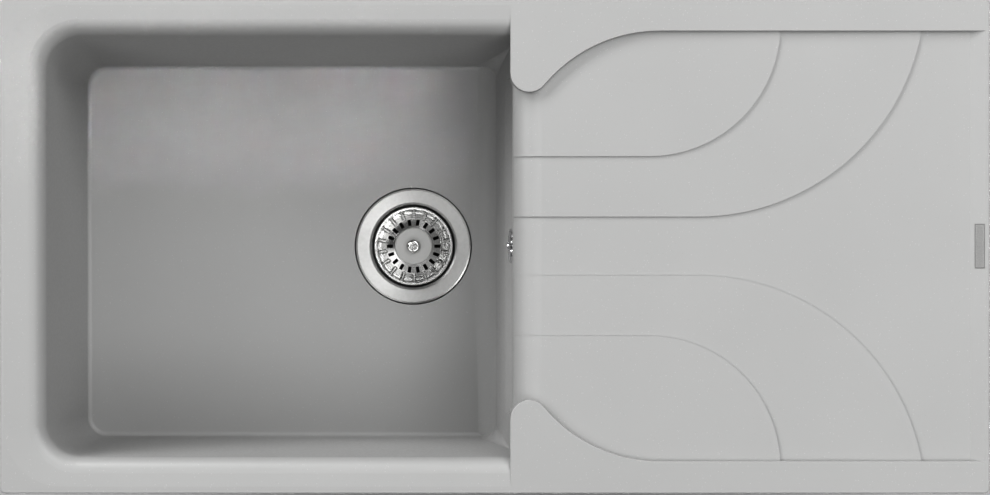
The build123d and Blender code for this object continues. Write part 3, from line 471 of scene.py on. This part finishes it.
# ---------------------------------------------------------------- brass inserts
# Turned brass nuts: eight moulded into the sink's bosses for the clips' screws, and one
# in the waste body's hub for the screw that pulls the waste together.
brass_yellow = (0.62, 0.44, 0.17)
brass, tree, shader, place = start_finish(
    "turned_brass", brass_yellow, roughness=0.30, metallic=1.0
)
vary_gloss(tree, shader, noise(tree, place, scale=700.0), smoothest=0.24, dullest=0.38)
roughen(tree, shader, noise(tree, place, scale=2200.0), strength=0.2, depth=0.00003)
finish_nodes(brass, "clip_brass", "clip_inserts", "waste_insert")

# ---------------------------------------------------------------- clips and bands
# The clip arms are bent from zinc-plated strip and hang on zinc-plated screws. The
# hose's two bands are the same strip, each drawn tight by a small slotted screw.
clip_count = 8
zinc_colour = (0.52, 0.53, 0.55)
zinc_bloom = (0.60, 0.60, 0.58)
plated, tree, shader, place = start_finish(
    "zinc_plated_strip", zinc_colour, roughness=0.38, metallic=1.0
)
bloom = mottle(tree, noise(tree, place, scale=150.0, detail=4.0), zinc_colour, zinc_bloom)
tree.links.new(bloom, shader.inputs["Base Color"])
vary_gloss(tree, shader, noise(tree, place, scale=500.0), smoothest=0.30, dullest=0.48)
roughen(tree, shader, noise(tree, place, scale=1800.0), strength=0.25, depth=0.00003)
arm_names = [f"clip_arm_{number}" for number in range(1, clip_count + 1)]
finish_nodes(plated, "fixing_steel", "clip_screws", "hose_clips", *arm_names)

# The screws' thread shows between the arm and the insert. It is cut once and copied.
screw_radius = 0.00245
screw_thread_depth = 0.00032
screw_thread_sunk = 0.00005
screw_pitch = 0.0008
screw_steps = 20
clear_of_ends = 0.0008
first_thread = turns_of_thread(
    "clip_screw_thread_1",
    screw_radius - screw_thread_sunk,
    screw_thread_depth,
    screw_pitch,
    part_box("clip_arm_1")[1].z + clear_of_ends,
    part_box("clip_inserts")[0].z - clear_of_ends,
    screw_steps,
)
first_thread.data.materials.append(plated)
threads = [first_thread]
for number in range(2, clip_count + 1):
    bpy.ops.object.duplicate()
    copied_thread = bpy.context.object
    copied_thread.name = f"clip_screw_thread_{number}"
    threads.append(copied_thread)
joints = frame["record"]["behaviour"]["joints"]
pivots = {joint["name"]: joint["pos_m"] for joint in joints if "clip_swing" in joint["name"]}
for number, thread in enumerate(threads, 1):
    across, along = pivots[f"clip_swing_{number}"][:2]
    bpy.ops.object.select_all(action="DESELECT")
    thread.select_set(True)
    bpy.context.view_layer.objects.active = thread
    move_into_mesh(thread, (across, along, 0.0))
    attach(thread, "sink")
bpy.ops.object.select_all(action="DESELECT")

# ---------------------------------------------------------------- camera
# The photograph looks straight down on the sink from about 2.6 m above its rim. Its
# 990 pixels are one metre of the rim plane, with the middle 1.4 mm in front of the
# sink's own middle.
rim_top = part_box("sink_basin")[1].z
camera_height = 2.605
picture_width = 1.0
camera_place_y = -0.0014
sensor_width = 36.0
nearest = 0.1
farthest = 50.0
bpy.ops.object.camera_add(location=(0.0, camera_place_y, rim_top + camera_height))
camera = bpy.context.object
camera.name = "camera"
camera.data.sensor_width = sensor_width
camera.data.lens = sensor_width * camera_height / picture_width
camera.data.clip_start = nearest
camera.data.clip_end = farthest
bpy.context.scene.camera = camera

# ---------------------------------------------------------------- studio
# A plain pale floor under the lowest piece, and soft boxes round the sink at three
# heights, with a small one over the bowl. The low box behind the left end brightens the
# front wall. The gridded box straight above lights only the rear of the bowl's floor.
floor_size = 12.0
floor_grey = (0.46, 0.46, 0.46)
floor_roughness = 0.9
bpy.ops.mesh.primitive_plane_add(size=floor_size, location=(0.0, 0.0, cad_low.z))
studio_floor = bpy.context.object
studio_floor.name = "studio_floor"
floor_paint = bpy.data.materials.new("studio_floor_paint")
floor_paint.use_nodes = True
floor_shader = floor_paint.node_tree.nodes["Principled BSDF"]
floor_shader.inputs["Base Color"].default_value = (*floor_grey, 1.0)
floor_shader.inputs["Roughness"].default_value = floor_roughness
studio_floor.data.materials.append(floor_paint)


def soft_light(name, place, size, power):
    """A soft box that points at the middle of the sink, between bowl and drainboard."""
    aim = Vector((-0.1, 0.0, 0.0))
    bpy.ops.object.light_add(type="AREA", location=place)
    light = bpy.context.object
    light.name = name
    light.data.shape = "RECTANGLE"
    light.data.size = size[0]
    light.data.size_y = size[1]
    light.data.energy = power
    light.rotation_euler = (aim - Vector(place)).to_track_quat("-Z", "Y").to_euler()
    return light


high_box = (2.6, 1.0)
middle_box = (3.6, 1.0)
low_box = (4.4, 1.0)
small_box = (0.45, 0.45)
soft_light("high_left_box", (-1.30, -1.20, 2.94), high_box, power=13.5)
soft_light("high_rear_box", (1.10, 1.20, 2.94), high_box, power=34.0)
soft_light("high_front_box", (1.10, -1.20, 2.94), high_box, power=41.0)
soft_light("middle_left_box", (-1.94, -1.84, 2.19), middle_box, power=24.5)
soft_light("middle_rear_box", (1.74, 1.84, 2.19), middle_box, power=58.0)
soft_light("middle_front_box", (1.74, -1.84, 2.19), middle_box, power=8.5)
soft_light("low_rear_box", (-2.33, 2.23, 1.27), low_box, power=150.0)
soft_light("small_high_box", (-0.60, 0.30, 3.0), small_box, power=10.8)

grid_box = (0.42, 0.10)
grid_angle = math.radians(2.4)
grid_light = soft_light("gridded_box", (-0.27, 0.145, 3.2), grid_box, power=0.033)
grid_light.rotation_euler = (0.0, 0.0, 0.0)
grid_light.data.spread = grid_angle

# Two gridded strips stand below the rim, in front and at the right. They light the
# sink's outside for the other views, and nothing that the photograph shows.
strip_height = 0.22
strip_angle = math.radians(14.0)
upright = math.radians(90.0)
for name, strip_place, strip_length, power, facing in (
    ("low_front_strip", (0.0, -3.2, -0.12), 3.0, 1.0, 0.0),
    ("low_right_strip", (3.2, 0.0, -0.12), 2.0, 0.7, math.radians(90.0)),
):
    strip = soft_light(name, strip_place, (strip_length, strip_height), power)
    strip.rotation_euler = (upright, 0.0, facing)
    strip.data.spread = strip_angle
    strip.visible_camera = False

# The surround fills the shadows a little. The view's gamma is a tone curve that deepens
# the walls and the shadows, towards the photograph's contrast.
surround_strength = 0.09
view_gamma = 0.667
surround = bpy.data.worlds.new("surround")
surround.use_nodes = True
surround_light = surround.node_tree.nodes["Background"]
surround_light.inputs["Color"].default_value = (1.0, 1.0, 1.0, 1.0)
surround_light.inputs["Strength"].default_value = surround_strength
bpy.context.scene.world = surround
bpy.context.scene.view_settings.view_transform = "Standard"
bpy.context.scene.view_settings.look = "None"
bpy.context.scene.view_settings.gamma = view_gamma
